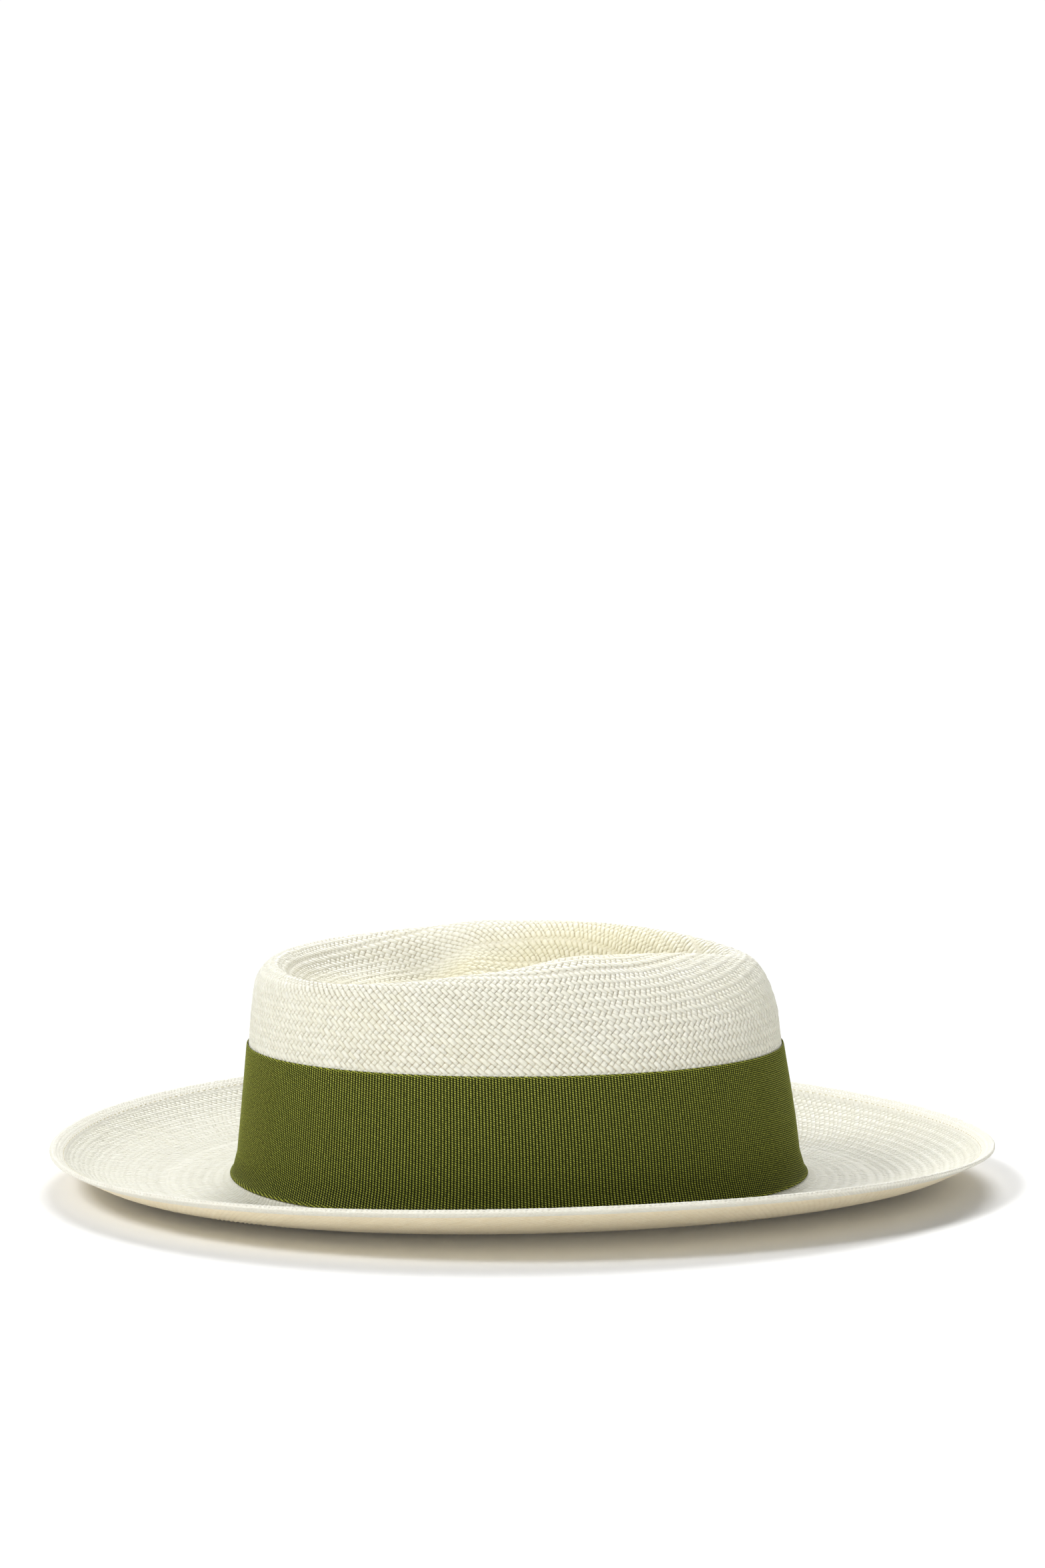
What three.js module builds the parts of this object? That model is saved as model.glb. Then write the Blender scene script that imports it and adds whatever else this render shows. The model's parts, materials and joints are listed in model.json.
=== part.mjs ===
// A panama hat: woven straw body, hemmed brim, grosgrain band with a flat bow, leather sweatband.
// Millimetres, +Z up, the wearer's front along +X, the wearer's left along +Y, brim resting on z = 0.
import * as THREE from 'three';
import { mergeVertices } from 'three/addons/utils/BufferGeometryUtils.js';

// ---- driving dimensions ----
const STRAW = 0.9; // thickness of the woven straw
const GAP = 0.3; // clearance between pieces that touch
const CLOTH = 0.6; // thickness of the grosgrain ribbon
const LEATHER = 0.9; // thickness of the sweatband
const AROUND = 64; // facets round the hat
const TURN = 2 * Math.PI;
const SIDE = Math.PI / 2; // angle of the wearer's left, where the bow sits
const BACK = Math.PI; // angle of the back seam

// Lengths along the crown wall are counted in angle times this radius.
const ARM = 100;

const HEM = { width: 6.5, wall: 0.55, slot: STRAW / 2 + GAP, wire: 0.35, thread: 0.25, stitchLine: 5.6 };
const BAND = { bottom: 3.2, top: 51.4, wave: 0.4, clear: 0.45, overlap: 30 };
const BOW = { bottom: 6.4, top: 49.6, reach: 46, bulge: 3, knot: 11.5, tail: 55, tailCut: 7, clear: 0.25, spare: 0.15 };
const SWEAT = { bottom: 6, top: 37, clear: 0.9, buttGap: 0.6 };
const REED = { radius: 0.8, height: 4.7 };
const SEAT_STITCH = { radius: 0.25, height: 8 };
const SEAM = { half: 5, bottom: 9.5, top: 35, thick: 0.7 };
const BACK_BOW = { half: 9, bottom: 25, top: 31, depth: 1.6, cloth: 0.4 };
const LABEL = { angle: -Math.PI / 2, half: 11, bottom: 13, top: 26, thick: 0.4 };

const PALE_STRAW = { color: 0xe9e2c8, roughness: 0.72, metalness: 0 };
const OLIVE_RIBBON = { color: 0x5b6130, roughness: 0.85, metalness: 0 };
const TAN_LEATHER = { color: 0xb98d5e, roughness: 0.6, metalness: 0 };

// ---- the hat's surface ----
// Ovals of the upper face of the straw, from the middle of the dent out to the brim's edge.
// cx: centre along the hat, a and b: half length and half width, egg: how much fuller the back is,
// box: how square the oval is, z: mean height, front: rise towards the front, ends: rise of the
// front and back over the sides, lobes: three-sided wave, left: rise of the wearer's left side,
// twist: diagonal warp, steps: facets from the oval before.
const OVALS = {
  middle: { cx: -20, a: 0, b: 0, z: 65, steps: 0 },
  dentFloor: { cx: -16, a: 34, b: 19, egg: 0.5, z: 66, front: 1.5, steps: 1 },
  dentWall: { cx: -10, a: 66, b: 42, egg: 0.62, z: 74, front: 3, ends: -1.5, lobes: -1, left: 0.6, steps: 1 },
  dentLip: { cx: -7, a: 80, b: 51.5, egg: 0.64, z: 82.3, front: 3.2, ends: -2.4, lobes: -1.5, left: 1.2, steps: 1 },
  rim: {
    cx: -5.2, a: 86.5, b: 57.5, egg: 0.62, box: 0.03, z: 84.5, front: 2.7, ends: -2.4, lobes: -1.6, left: 1.4, steps: 2,
  },
  shoulder: {
    cx: -4.7, a: 92.5, b: 66, egg: 0.42, box: 0.05, z: 79.5, front: 2, ends: -2.4, lobes: -1, left: 1.2, steps: 2,
  },
  upperWall: { cx: -3.2, a: 96, b: 76, egg: 0.16, box: 0.05, z: 67, front: 0.6, ends: -1.2, left: 0.5, steps: 2 },
  bandTop: { cx: -2.7, a: 97.6, b: 82.8, egg: 0.02, box: 0.06, z: 52, steps: 1 },
  head: { cx: -1.7, a: 100.8, b: 85.8, egg: 0.05, box: 0.08, z: 27, steps: 1 },
  lowWall: { cx: -1.4, a: 103, b: 88, egg: 0.07, box: 0.12, z: 9, steps: 1 },
  crease: { cx: -1.2, a: 106.8, b: 91, egg: 0.07, box: 0.12, z: 2.2, ends: 0.4, steps: 2 },
  restInner: { cx: -1, a: 114, b: 97, egg: 0.07, box: 0.1, z: STRAW, steps: 1 },
  restOuter: { cx: -0.8, a: 121, b: 104, egg: 0.07, box: 0.08, z: STRAW, steps: 1 },
  brimInner: { cx: -0.5, a: 137, b: 120, egg: 0.07, box: 0.04, z: 2.7, ends: -1.1, twist: -0.6, steps: 1 },
  brimOuter: { cx: -0.2, a: 156, b: 141, egg: 0.07, box: 0.02, z: 8, front: 0.2, ends: -2, twist: -0.8, steps: 2 },
  edge: { cx: 0, a: 173.4, b: 160.5, egg: 0.07, z: 16.7, front: 0.4, ends: -2.2, twist: -0.8, steps: 2 },
};
const NAMES = Object.keys(OVALS);

function ovalPoint(name, angle) {
  const { cx, a, b, egg = 0, box = 0, z, front = 0, ends = 0, lobes = 0, left = 0, twist = 0 } = OVALS[name];
  const c = Math.cos(angle);
  const s = Math.sin(angle);
  const height = z + front * c + ends * Math.cos(2 * angle) + lobes * Math.cos(3 * angle);
  return new THREE.Vector3(
    cx + a * c,
    b * s * (1 - egg * c + box * c * c),
    height + left * s + twist * Math.sin(2 * angle),
  );
}

function catmull(p0, p1, p2, p3, t) {
  const at = (k) => {
    const [a, b, c, d] = [p0, p1, p2, p3].map((p) => p.getComponent(k));
    const linear = (c - a) * t;
    const square = (2 * a - 5 * b + 4 * c - d) * t * t;
    const cube = (3 * b - a - 3 * c + d) * t * t * t;
    return (2 * b + linear + square + cube) / 2;
  };
  return new THREE.Vector3(at(0), at(1), at(2));
}

// A point of the straw's upper face; place counts ovals from the middle of the dent.
function strawPoint(angle, place) {
  const last = NAMES.length - 1;
  const k = Math.min(Math.max(Math.floor(place), 0), last - 1);
  const p1 = ovalPoint(NAMES[k], angle);
  const p2 = ovalPoint(NAMES[k + 1], angle);
  const mirror = (near, far) => near.clone().multiplyScalar(2).sub(far);
  const p0 = k > 0 ? ovalPoint(NAMES[k - 1], angle) : mirror(p1, p2);
  const p3 = k + 2 <= last ? ovalPoint(NAMES[k + 2], angle) : mirror(p2, p1);
  return catmull(p0, p1, p2, p3, place - k);
}

function strawNormal(angle, place) {
  const step = 0.01;
  const near = Math.max(place, 2 * step);
  const along = strawPoint(angle, near + step).sub(strawPoint(angle, near - step));
  const round = strawPoint(angle + step, near).sub(strawPoint(angle - step, near));
  return along.cross(round).normalize();
}

// The place on the crown wall, between the band's top and the brim, at a given height.
function wallPlace(height, angle) {
  let low = NAMES.indexOf('upperWall');
  let high = NAMES.indexOf('restInner');
  for (let turn = 0; turn < 30; turn += 1) {
    const middle = (low + high) / 2;
    if (strawPoint(angle, middle).z > height) low = middle;
    else high = middle;
  }
  return low;
}

// A point at a height beside the crown wall, a distance out from the straw's outer face.
function wallPoint(angle, height, out) {
  const place = wallPlace(height, angle);
  const normal = strawNormal(angle, place).setZ(0).normalize();
  return strawPoint(angle, place).setZ(height).addScaledVector(normal, out);
}

// ---- closed solids from grids of points ----
function solid(points, triangles) {
  const geometry = new THREE.BufferGeometry();
  const flat = points.flatMap((p) => [p.x, p.y, p.z]);
  geometry.setAttribute('position', new THREE.Float32BufferAttribute(flat, 3));
  geometry.setIndex(triangles.flat());
  const merged = mergeVertices(geometry, 1e-4);
  const index = Array.from(merged.index.array);
  const faces = [];
  for (let i = 0; i < index.length; i += 3) {
    const [a, b, c] = index.slice(i, i + 3);
    if (a !== b && b !== c && c !== a) faces.push([a, b, c]);
  }
  const outward = volume(merged, faces) > 0 ? faces : faces.map((face) => face.toReversed());
  merged.setIndex(outward.flat());
  merged.computeVertexNormals();
  return merged;
}

function volume(geometry, faces) {
  const corner = (i) => new THREE.Vector3().fromBufferAttribute(geometry.attributes.position, i);
  return faces.reduce((sum, [a, b, c]) => sum + corner(a).dot(corner(b).cross(corner(c))) / 6, 0);
}

// Rows of closed sections, joined in turn. The rows close on themselves, or end in flat caps.
function loft(rows, closed) {
  const size = rows[0].length;
  const triangles = [];
  const id = (r, k) => (r % rows.length) * size + (k % size);
  const count = closed ? rows.length : rows.length - 1;
  for (let r = 0; r < count; r += 1) {
    for (let k = 0; k < size; k += 1) {
      triangles.push([id(r, k), id(r + 1, k), id(r + 1, k + 1)]);
      triangles.push([id(r, k), id(r + 1, k + 1), id(r, k + 1)]);
    }
  }
  if (!closed) triangles.push(...cap(rows[0], 0, false), ...cap(rows.at(-1), (rows.length - 1) * size, true));
  return solid(rows.flat(), triangles);
}

// A section is an outer face followed back by an inner one, so its cap is a row of quads.
function cap(section, start, last) {
  const size = section.length;
  const triangles = [];
  for (let k = 0; k < size / 2 - 1; k += 1) {
    const quad = [k, k + 1, size - 2 - k, size - 1 - k].map((i) => start + i);
    const faces = [[quad[0], quad[1], quad[2]], [quad[0], quad[2], quad[3]]];
    triangles.push(...(last ? faces.map((f) => f.toReversed()) : faces));
  }
  return triangles;
}

const range = (count, from, to) => Array.from({ length: count + 1 }, (_, i) => from + ((to - from) * i) / count);
const roundTheHat = () => range(AROUND, 0, TURN).slice(0, AROUND);

function piece(name, geometry, finish) {
  const mesh = new THREE.Mesh(geometry, new THREE.MeshStandardMaterial(finish));
  mesh.name = name;
  return mesh;
}

// ---- straw ----
function strawPlaces() {
  const slotDepth = HEM.wall + 2 * HEM.slot + HEM.wire;
  const lastStep = NAMES.length - 1 - slotDepth / brimSpan();
  const places = [0];
  NAMES.slice(1).forEach((name, k) => {
    const { steps } = OVALS[name];
    const end = k + 1 === NAMES.length - 1 ? lastStep : k + 1;
    places.push(...range(steps, k, end).slice(1));
  });
  return places;
}

// The distance from the last oval but one to the brim's edge.
function brimSpan() {
  return OVALS.edge.a - OVALS.brimOuter.a;
}

function strawBody() {
  const places = strawPlaces();
  const flatFrom = NAMES.indexOf('restInner');
  const flatTo = NAMES.indexOf('restOuter');
  const under = (angle, place) => {
    const top = strawPoint(angle, place);
    if (place >= flatFrom && place <= flatTo) return top.setZ(0);
    return top.addScaledVector(strawNormal(angle, place), -STRAW);
  };
  const middleTop = strawPoint(0, 0);
  const middleUnder = middleTop.clone().setZ(middleTop.z - STRAW);
  const rows = roundTheHat().map((angle) => {
    const outer = places.map((place) => (place ? strawPoint(angle, place) : middleTop));
    const inner = places.map((place) => (place ? under(angle, place) : middleUnder));
    return [...outer, ...inner.toReversed()];
  });
  return piece('straw_body', loft(rows, true), PALE_STRAW);
}

// ---- the hemmed edge of the brim ----
// The frame of the brim's edge: out runs along the straw to the edge, up stands off its face.
function edgeFrame(angle) {
  const last = NAMES.length - 1;
  const up = strawNormal(angle, last);
  const tip = strawPoint(angle, last).addScaledVector(up, -STRAW / 2);
  const out = strawPoint(angle, last).sub(strawPoint(angle, last - 0.1)).normalize();
  return (u, w) => tip.clone().addScaledVector(out, u).addScaledVector(up, w);
}

function arc(radius, centre, from, to, steps) {
  return range(steps, from, to).map((t) => [centre + radius * Math.cos(t), radius * Math.sin(t)]);
}

function edgeRing(section) {
  return loft(roundTheHat().map((angle) => section.map(([u, w]) => edgeFrame(angle)(u, w))), true);
}

function brimHem() {
  const nose = HEM.slot + HEM.wall;
  const outer = [[-HEM.width, nose], ...arc(nose, -nose, SIDE, -SIDE, 4), [-HEM.width, -nose]];
  const inner = [[-HEM.width, -HEM.slot], ...arc(HEM.slot, -nose, -SIDE, SIDE, 4), [-HEM.width, HEM.slot]];
  return piece('brim_edge_hem', edgeRing([...outer, ...inner]), PALE_STRAW);
}

function brimWire() {
  const section = arc(HEM.wire, -HEM.slot - HEM.wall, TURN, TURN / 6, 5);
  return piece('brim_edge_wire', edgeRing(section), { color: 0x9a9c9e, roughness: 0.4, metalness: 1 });
}

function hemThread() {
  const lift = HEM.slot + HEM.wall + GAP + HEM.thread;
  const section = arc(HEM.thread, -HEM.stitchLine, TURN, TURN / 5, 4).map(([u, w]) => [u, w + lift]);
  return piece('brim_hem_thread', edgeRing(section), { color: 0xded6b8, roughness: 0.6, metalness: 0 });
}

// ---- strips of ribbon and leather beside the crown wall ----
// A strip follows a path in a plane, has a thickness in that plane and a width across it.
// place turns a point of the plane and a distance across into a point in space.
function strip(path, thick, across, place, closed = false) {
  const rows = path.map((point, i) => {
    const before = path[i - 1] ?? (closed ? path.at(-1) : point);
    const after = path[i + 1] ?? (closed ? path[0] : point);
    const along = new THREE.Vector2().subVectors(after, before).normalize();
    const half = new THREE.Vector2(along.y, -along.x).multiplyScalar(thick / 2);
    const face = (side) => across.map((step) => place(point.clone().addScaledVector(half, side), step));
    return [...face(1), ...face(-1).toReversed()];
  });
  return loft(rows, closed);
}

const flatPoints = (list) => list.map(([u, w]) => new THREE.Vector2(u, w));

// A smooth path through a few points; it closes on itself where the piece is a ring.
function smoothPath(points, count, closed = false) {
  const curve = new THREE.CatmullRomCurve3(points.map(([u, w]) => new THREE.Vector3(u, w, 0)), closed);
  const spaced = curve.getSpacedPoints(count).map((p) => new THREE.Vector2(p.x, p.y));
  return closed ? spaced.slice(0, -1) : spaced;
}

// Planes for strips: lying along the wall with their width up it, or wrapped over it.
const alongWall = (centre) => (p, height) => wallPoint(centre + p.x / ARM, height, p.y);
const overWall = (centre) => (p, across) => wallPoint(centre + across / ARM, p.x, p.y);

function hatBand() {
  const turn = TURN * ARM;
  const start = -BAND.overlap / 2;
  const inner = BAND.clear + CLOTH / 2;
  const path = range(AROUND + 8, start, start + turn + BAND.overlap).map((s) => {
    const over = THREE.MathUtils.smoothstep(s, turn - 2 * BAND.overlap, turn - BAND.overlap);
    return [s, inner + (CLOTH + GAP) * over];
  });
  const place = (p, share) => {
    const angle = SIDE + p.x / ARM;
    const bottom = BAND.bottom + BAND.wave * Math.cos(2 * angle);
    return wallPoint(angle, THREE.MathUtils.lerp(bottom, BAND.top, share), p.y);
  };
  return piece('hat_band', strip(flatPoints(path), CLOTH, range(6, 0, 1), place), OLIVE_RIBBON);
}

// Middle of a layer of the bow, counted out from the two layers of the band's overlap.
const layer = (count) => BAND.clear + BOW.clear + (2.5 + count) * CLOTH + 2 * GAP + count * (GAP + BOW.spare);

// A loop runs out from under the knot, folds back at its end and returns over itself.
function bowLoop(name, direction) {
  const low = layer(1);
  const high = layer(2);
  const { knot, reach, bulge } = BOW;
  const points = [
    [1, low], [knot, low], [reach - 8, low], [reach - 1, low + 0.3], [reach, low + 1],
    [reach - 1.6, high + bulge * 0.5], [reach - 9, high + bulge * 0.9], [reach - 20, high + bulge],
    [knot + 9, high + bulge * 0.75], [knot + 3, high + 0.3], [knot + 1, high], [knot - 3, high], [1, high],
  ].map(([s, out]) => [direction * s, out]);
  const heights = range(6, BOW.bottom, BOW.top);
  return piece(name, strip(smoothPath(points, 30), CLOTH, heights, alongWall(SIDE)), OLIVE_RIBBON);
}

// The end of the ribbon under the rear loop, cut on a slant.
function bowTail() {
  const path = flatPoints(range(8, BOW.knot + 1.5, BOW.tail).map((s) => [s, layer(0)]));
  const place = (p, share) => {
    const height = THREE.MathUtils.lerp(BOW.bottom, BOW.top, share);
    const cut = (share * BOW.tailCut * (p.x - BOW.knot)) / (BOW.tail - BOW.knot);
    return wallPoint(SIDE + (p.x - cut) / ARM, height, p.y);
  };
  return piece('bow_tail', strip(path, CLOTH, range(6, 0, 1), place), OLIVE_RIBBON);
}

// The wrap round the middle of the bow, over its front and behind its loops.
function bowKnot() {
  const edge = 2 * GAP + CLOTH / 2;
  const low = BOW.bottom - edge;
  const high = BOW.top + edge;
  const middle = (low + high) / 2;
  const bend = 0.4;
  const straight = 2.2;
  const points = [
    [low, layer(0.9)], [low + bend, layer(0.15)], [low + straight, layer(0)], [middle, layer(0)],
    [high - straight, layer(0)], [high - bend, layer(0.15)], [high, layer(0.9)],
    [high, layer(2.1)], [high - bend, layer(2.85)], [high - straight, layer(3)], [middle, layer(3.3)],
    [low + straight, layer(3)], [low + bend, layer(2.85)], [low, layer(2.1)],
  ];
  const place = overWall(SIDE);
  const across = range(4, -BOW.knot, BOW.knot);
  return piece('bow_knot', strip(smoothPath(points, 44, true), CLOTH, across, place, true), OLIVE_RIBBON);
}

// ---- inside the crown ----
// How far in the middle of a layer lies; each inner piece rests on the one outside it.
const SWEAT_MIDDLE = -(STRAW + SWEAT.clear + LEATHER / 2);
const onLeather = (thick) => SWEAT_MIDDLE - LEATHER / 2 - GAP - thick / 2;

function sweatband() {
  const ends = TURN * ARM - SWEAT.buttGap;
  const path = flatPoints(range(AROUND, SWEAT.buttGap, ends).map((s) => [s, SWEAT_MIDDLE]));
  const heights = range(3, SWEAT.bottom, SWEAT.top);
  return piece('sweatband', strip(path, LEATHER, heights, alongWall(BACK)), TAN_LEATHER);
}

function wallRing(name, radius, out, height, sides, finish) {
  const section = arc(radius, 0, TURN, TURN / sides, sides - 1);
  const rows = roundTheHat().map((angle) => section.map(([u, w]) => wallPoint(angle, height + w, out + u)));
  return piece(name, loft(rows, true), finish);
}

function patch(name, centre, { half, bottom, top, thick }, finish) {
  const path = flatPoints(range(4, -half, half).map((s) => [s, onLeather(thick)]));
  return piece(name, strip(path, thick, range(3, bottom, top), alongWall(centre)), finish);
}

// A small flat ribbon ring over the back seam.
function backBow() {
  const { half, depth, cloth, bottom, top } = BACK_BOW;
  const near = onLeather(SEAM.thick) - SEAM.thick / 2 - GAP - cloth / 2;
  const far = near - depth;
  const points = [
    [-half + 1, near], [0, near], [half - 1, near], [half, (near + far) / 2],
    [half - 2.5, far], [0, near - cloth - GAP], [2.5 - half, far], [-half, (near + far) / 2],
  ];
  const path = smoothPath(points, 24, true);
  const shape = strip(path, cloth, range(2, bottom, top), alongWall(BACK), true);
  return piece('sweatband_back_bow', shape, TAN_LEATHER);
}

// ---- the whole hat ----
const hat = new THREE.Group();
hat.add(strawBody(), brimHem(), brimWire(), hemThread());
hat.add(hatBand(), bowLoop('bow_front_loop', -1), bowLoop('bow_rear_loop', 1), bowTail(), bowKnot());
hat.add(sweatband(), patch('sweatband_seam_cover', BACK, SEAM, TAN_LEATHER), backBow());
hat.add(wallRing('sweatband_reed', REED.radius, SWEAT_MIDDLE, REED.height, 6, TAN_LEATHER));
hat.add(
  wallRing('sweatband_thread', SEAT_STITCH.radius, onLeather(2 * SEAT_STITCH.radius), SEAT_STITCH.height, 5, {
    color: 0xd8c9a4,
    roughness: 0.7,
    metalness: 0,
  }),
);
hat.add(patch('size_label', LABEL.angle, LABEL, { color: 0xf1ead8, roughness: 0.8, metalness: 0 }));

export default hat;
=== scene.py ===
"""Looks of a panama hat: woven straw, hemmed brim, grosgrain band and bow, leather sweatband."""
import json
import math

import bpy
import numpy as np
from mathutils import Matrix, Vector
from mathutils.bvhtree import BVHTree

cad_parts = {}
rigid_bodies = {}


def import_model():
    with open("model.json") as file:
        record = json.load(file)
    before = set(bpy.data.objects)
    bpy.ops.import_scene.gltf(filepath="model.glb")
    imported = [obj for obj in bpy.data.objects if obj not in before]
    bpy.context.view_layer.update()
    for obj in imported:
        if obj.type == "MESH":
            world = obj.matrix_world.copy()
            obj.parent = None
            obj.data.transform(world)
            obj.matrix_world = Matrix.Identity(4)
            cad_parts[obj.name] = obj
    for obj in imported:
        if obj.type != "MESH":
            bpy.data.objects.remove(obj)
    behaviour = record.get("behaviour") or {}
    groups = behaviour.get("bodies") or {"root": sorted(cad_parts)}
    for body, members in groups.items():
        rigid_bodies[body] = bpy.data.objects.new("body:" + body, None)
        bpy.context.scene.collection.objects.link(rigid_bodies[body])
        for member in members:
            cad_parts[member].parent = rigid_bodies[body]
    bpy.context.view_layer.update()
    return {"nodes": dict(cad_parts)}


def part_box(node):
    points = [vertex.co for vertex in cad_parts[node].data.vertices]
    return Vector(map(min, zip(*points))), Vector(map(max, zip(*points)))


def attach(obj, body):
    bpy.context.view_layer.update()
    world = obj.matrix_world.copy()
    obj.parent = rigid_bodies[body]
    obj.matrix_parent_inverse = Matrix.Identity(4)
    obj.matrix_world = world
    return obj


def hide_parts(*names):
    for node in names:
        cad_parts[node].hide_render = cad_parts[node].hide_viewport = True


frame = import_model()

TURN = 2 * math.pi
HEM_SPAN = 347.3  # length of the hemmed brim, in millimetres
# One millimetre of the pattern below, from the size of the hem in the frame.
MM = (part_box("brim_edge_hem")[1][0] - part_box("brim_edge_hem")[0][0]) / HEM_SPAN
rng = np.random.default_rng(7)

# ---- sizes of the hat, in millimetres ----
STRAW = 0.9
CLOTH = 0.6
LEATHER = 0.9
GAP = 0.3
ARM = 100  # lengths along the crown wall are angle times this radius
SIDE = math.pi / 2
BACK = math.pi
ROW = 1.35  # height of one row of crossings in the weave
COLUMN = 2.43  # distance between strands along a row
REPEAT = 3  # rows of crossings before the weave repeats
# The hem's faces stand "face" over the middle of the straw, full from "lead" in from its inner edge.
HEM = {"width": 6.5, "lead": 1.8, "face": 0.75, "rows": 18, "stitches": 328}
BAND = {"bottom": 3.2, "top": 51.4, "wave": 0.4, "clear": 0.45, "overlap": 30, "ribs": 540}
BOW = {"bottom": 6.4, "top": 49.6, "reach": 46, "bulge": 3, "knot": 11.5, "tail": 55, "cut": 7}
BOW_CLEAR = 0.25
SWEAT = {"bottom": 6, "top": 37, "clear": 0.9, "butt": 0.6, "length": 580}
SEWN = {"height": 8.0, "stitches": 150}  # the seam that holds the sweatband
REED = {"radius": 0.8, "height": 4.7, "pleats": 240, "pleat": 0.15}
COVER = {"width": 10, "bottom": 9.5, "top": 35, "thick": 0.7}
LABEL = {"width": 22, "bottom": 13, "top": 26, "thick": 0.4}
BACK_BOW = {"half": 9, "depth": 1.6, "thick": 0.4, "bottom": 25, "top": 31}
RIB = 1.1  # distance between the ribs of the grosgrain

# ---- the hat's surface ----
# Ovals of the upper face of the straw, from the middle of the dent out to the brim's edge, as in
# the CAD model: centre, half length and half width, fuller back, squareness, height, and the
# rises of the front, of both ends, of three lobes, of the left side, and a diagonal twist.
FIELDS = ("cx", "a", "b", "egg", "box", "z", "front", "ends", "lobes", "left", "twist")
OVALS = {
    "middle": dict(cx=-20, z=65),
    "dent_floor": dict(cx=-16, a=34, b=19, egg=0.5, z=66, front=1.5),
    "dent_wall": dict(cx=-10, a=66, b=42, egg=0.62, z=74, front=3, ends=-1.5, lobes=-1, left=0.6),
    "dent_lip": dict(cx=-7, a=80, b=51.5, egg=0.64, z=82.3, front=3.2, ends=-2.4, lobes=-1.5, left=1.2),
    "rim": dict(
        cx=-5.2, a=86.5, b=57.5, egg=0.62, box=0.03, z=84.5, front=2.7, ends=-2.4, lobes=-1.6, left=1.4
    ),
    "shoulder": dict(
        cx=-4.7, a=92.5, b=66, egg=0.42, box=0.05, z=79.5, front=2, ends=-2.4, lobes=-1, left=1.2
    ),
    "upper_wall": dict(cx=-3.2, a=96, b=76, egg=0.16, box=0.05, z=67, front=0.6, ends=-1.2, left=0.5),
    "band_top": dict(cx=-2.7, a=97.6, b=82.8, egg=0.02, box=0.06, z=52),
    "head": dict(cx=-1.7, a=100.8, b=85.8, egg=0.05, box=0.08, z=27),
    "low_wall": dict(cx=-1.4, a=103, b=88, egg=0.07, box=0.12, z=9),
    "crease": dict(cx=-1.2, a=106.8, b=91, egg=0.07, box=0.12, z=2.2, ends=0.4),
    "rest_inner": dict(cx=-1, a=114, b=97, egg=0.07, box=0.1, z=STRAW),
    "rest_outer": dict(cx=-0.8, a=121, b=104, egg=0.07, box=0.08, z=STRAW),
    "brim_inner": dict(cx=-0.5, a=137, b=120, egg=0.07, box=0.04, z=2.7, ends=-1.1, twist=-0.6),
    "brim_outer": dict(cx=-0.2, a=156, b=141, egg=0.07, box=0.02, z=8, front=0.2, ends=-2, twist=-0.8),
    "edge": dict(cx=0, a=173.4, b=160.5, egg=0.07, z=16.7, front=0.4, ends=-2.2, twist=-0.8),
}
NAMES = list(OVALS)
PLACE = {name: k for k, name in enumerate(NAMES)}
LAST = len(NAMES) - 1


def angles_round(count):
    return np.linspace(0, TURN, count, endpoint=False)


def oval(name, angle):
    cx, a, b, egg, box, z, front, ends, lobes, left, twist = (OVALS[name].get(f, 0) for f in FIELDS)
    c, s = np.cos(angle), np.sin(angle)
    height = z + front * c + ends * np.cos(2 * angle) + lobes * np.cos(3 * angle)
    height = height + left * s + twist * np.sin(2 * angle)
    return np.stack([cx + a * c, b * s * (1 - egg * c + box * c * c), height], -1)


def straw(angle, place):
    """Points of the straw's upper face: one meridian for each angle, and places along them all."""
    place = np.broadcast_to(place, (len(angle), len(place)))
    rings = [oval(name, angle) for name in NAMES]
    rings = np.stack([2 * rings[0] - rings[1], *rings, 2 * rings[-1] - rings[-2]])
    k = np.clip(np.floor(place).astype(int), 0, LAST - 1)
    t = (place - k)[..., None]
    row = np.arange(len(angle))[:, None]
    p0, p1, p2, p3 = (rings[k + j, row] for j in range(4))
    square = (2 * p0 - 5 * p1 + 4 * p2 - p3) * t**2
    cube = (3 * p1 - p0 - 3 * p2 + p3) * t**3
    return (2 * p1 + (p2 - p0) * t + square + cube) / 2


def unit(v):
    return v / np.maximum(np.linalg.norm(v, axis=-1, keepdims=True), 1e-12)


def lengths(lines):
    """Distances along a line of points, or along each of several."""
    steps = np.linalg.norm(np.diff(lines, axis=-2), axis=-1)
    return np.concatenate([np.zeros((*steps.shape[:-1], 1)), np.cumsum(steps, -1)], -1)


def even_rows(points, rows):
    """Meridians resampled to rows of equal length."""
    length = lengths(points)
    out = np.empty((len(points), rows + 1, 3))
    for i, line in enumerate(points):
        at = np.linspace(0, length[i, -1], rows + 1)
        for axis in range(3):
            out[i, :, axis] = np.interp(at, length[i], line[:, axis])
    return out


def between(grid, x, y):
    """A grid's values x rows and y columns in. The last row is next to the first."""
    i, j = np.floor(x).astype(int) % len(grid), np.minimum(np.floor(y).astype(int), grid.shape[1] - 2)
    i2, u, v = (i + 1) % len(grid), (x - np.floor(x))[..., None], (y - j)[..., None]
    near = grid[i, j] * (1 - u) + grid[i2, j] * u
    far = grid[i, j + 1] * (1 - u) + grid[i2, j + 1] * u
    return near * (1 - v) + far * v


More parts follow.
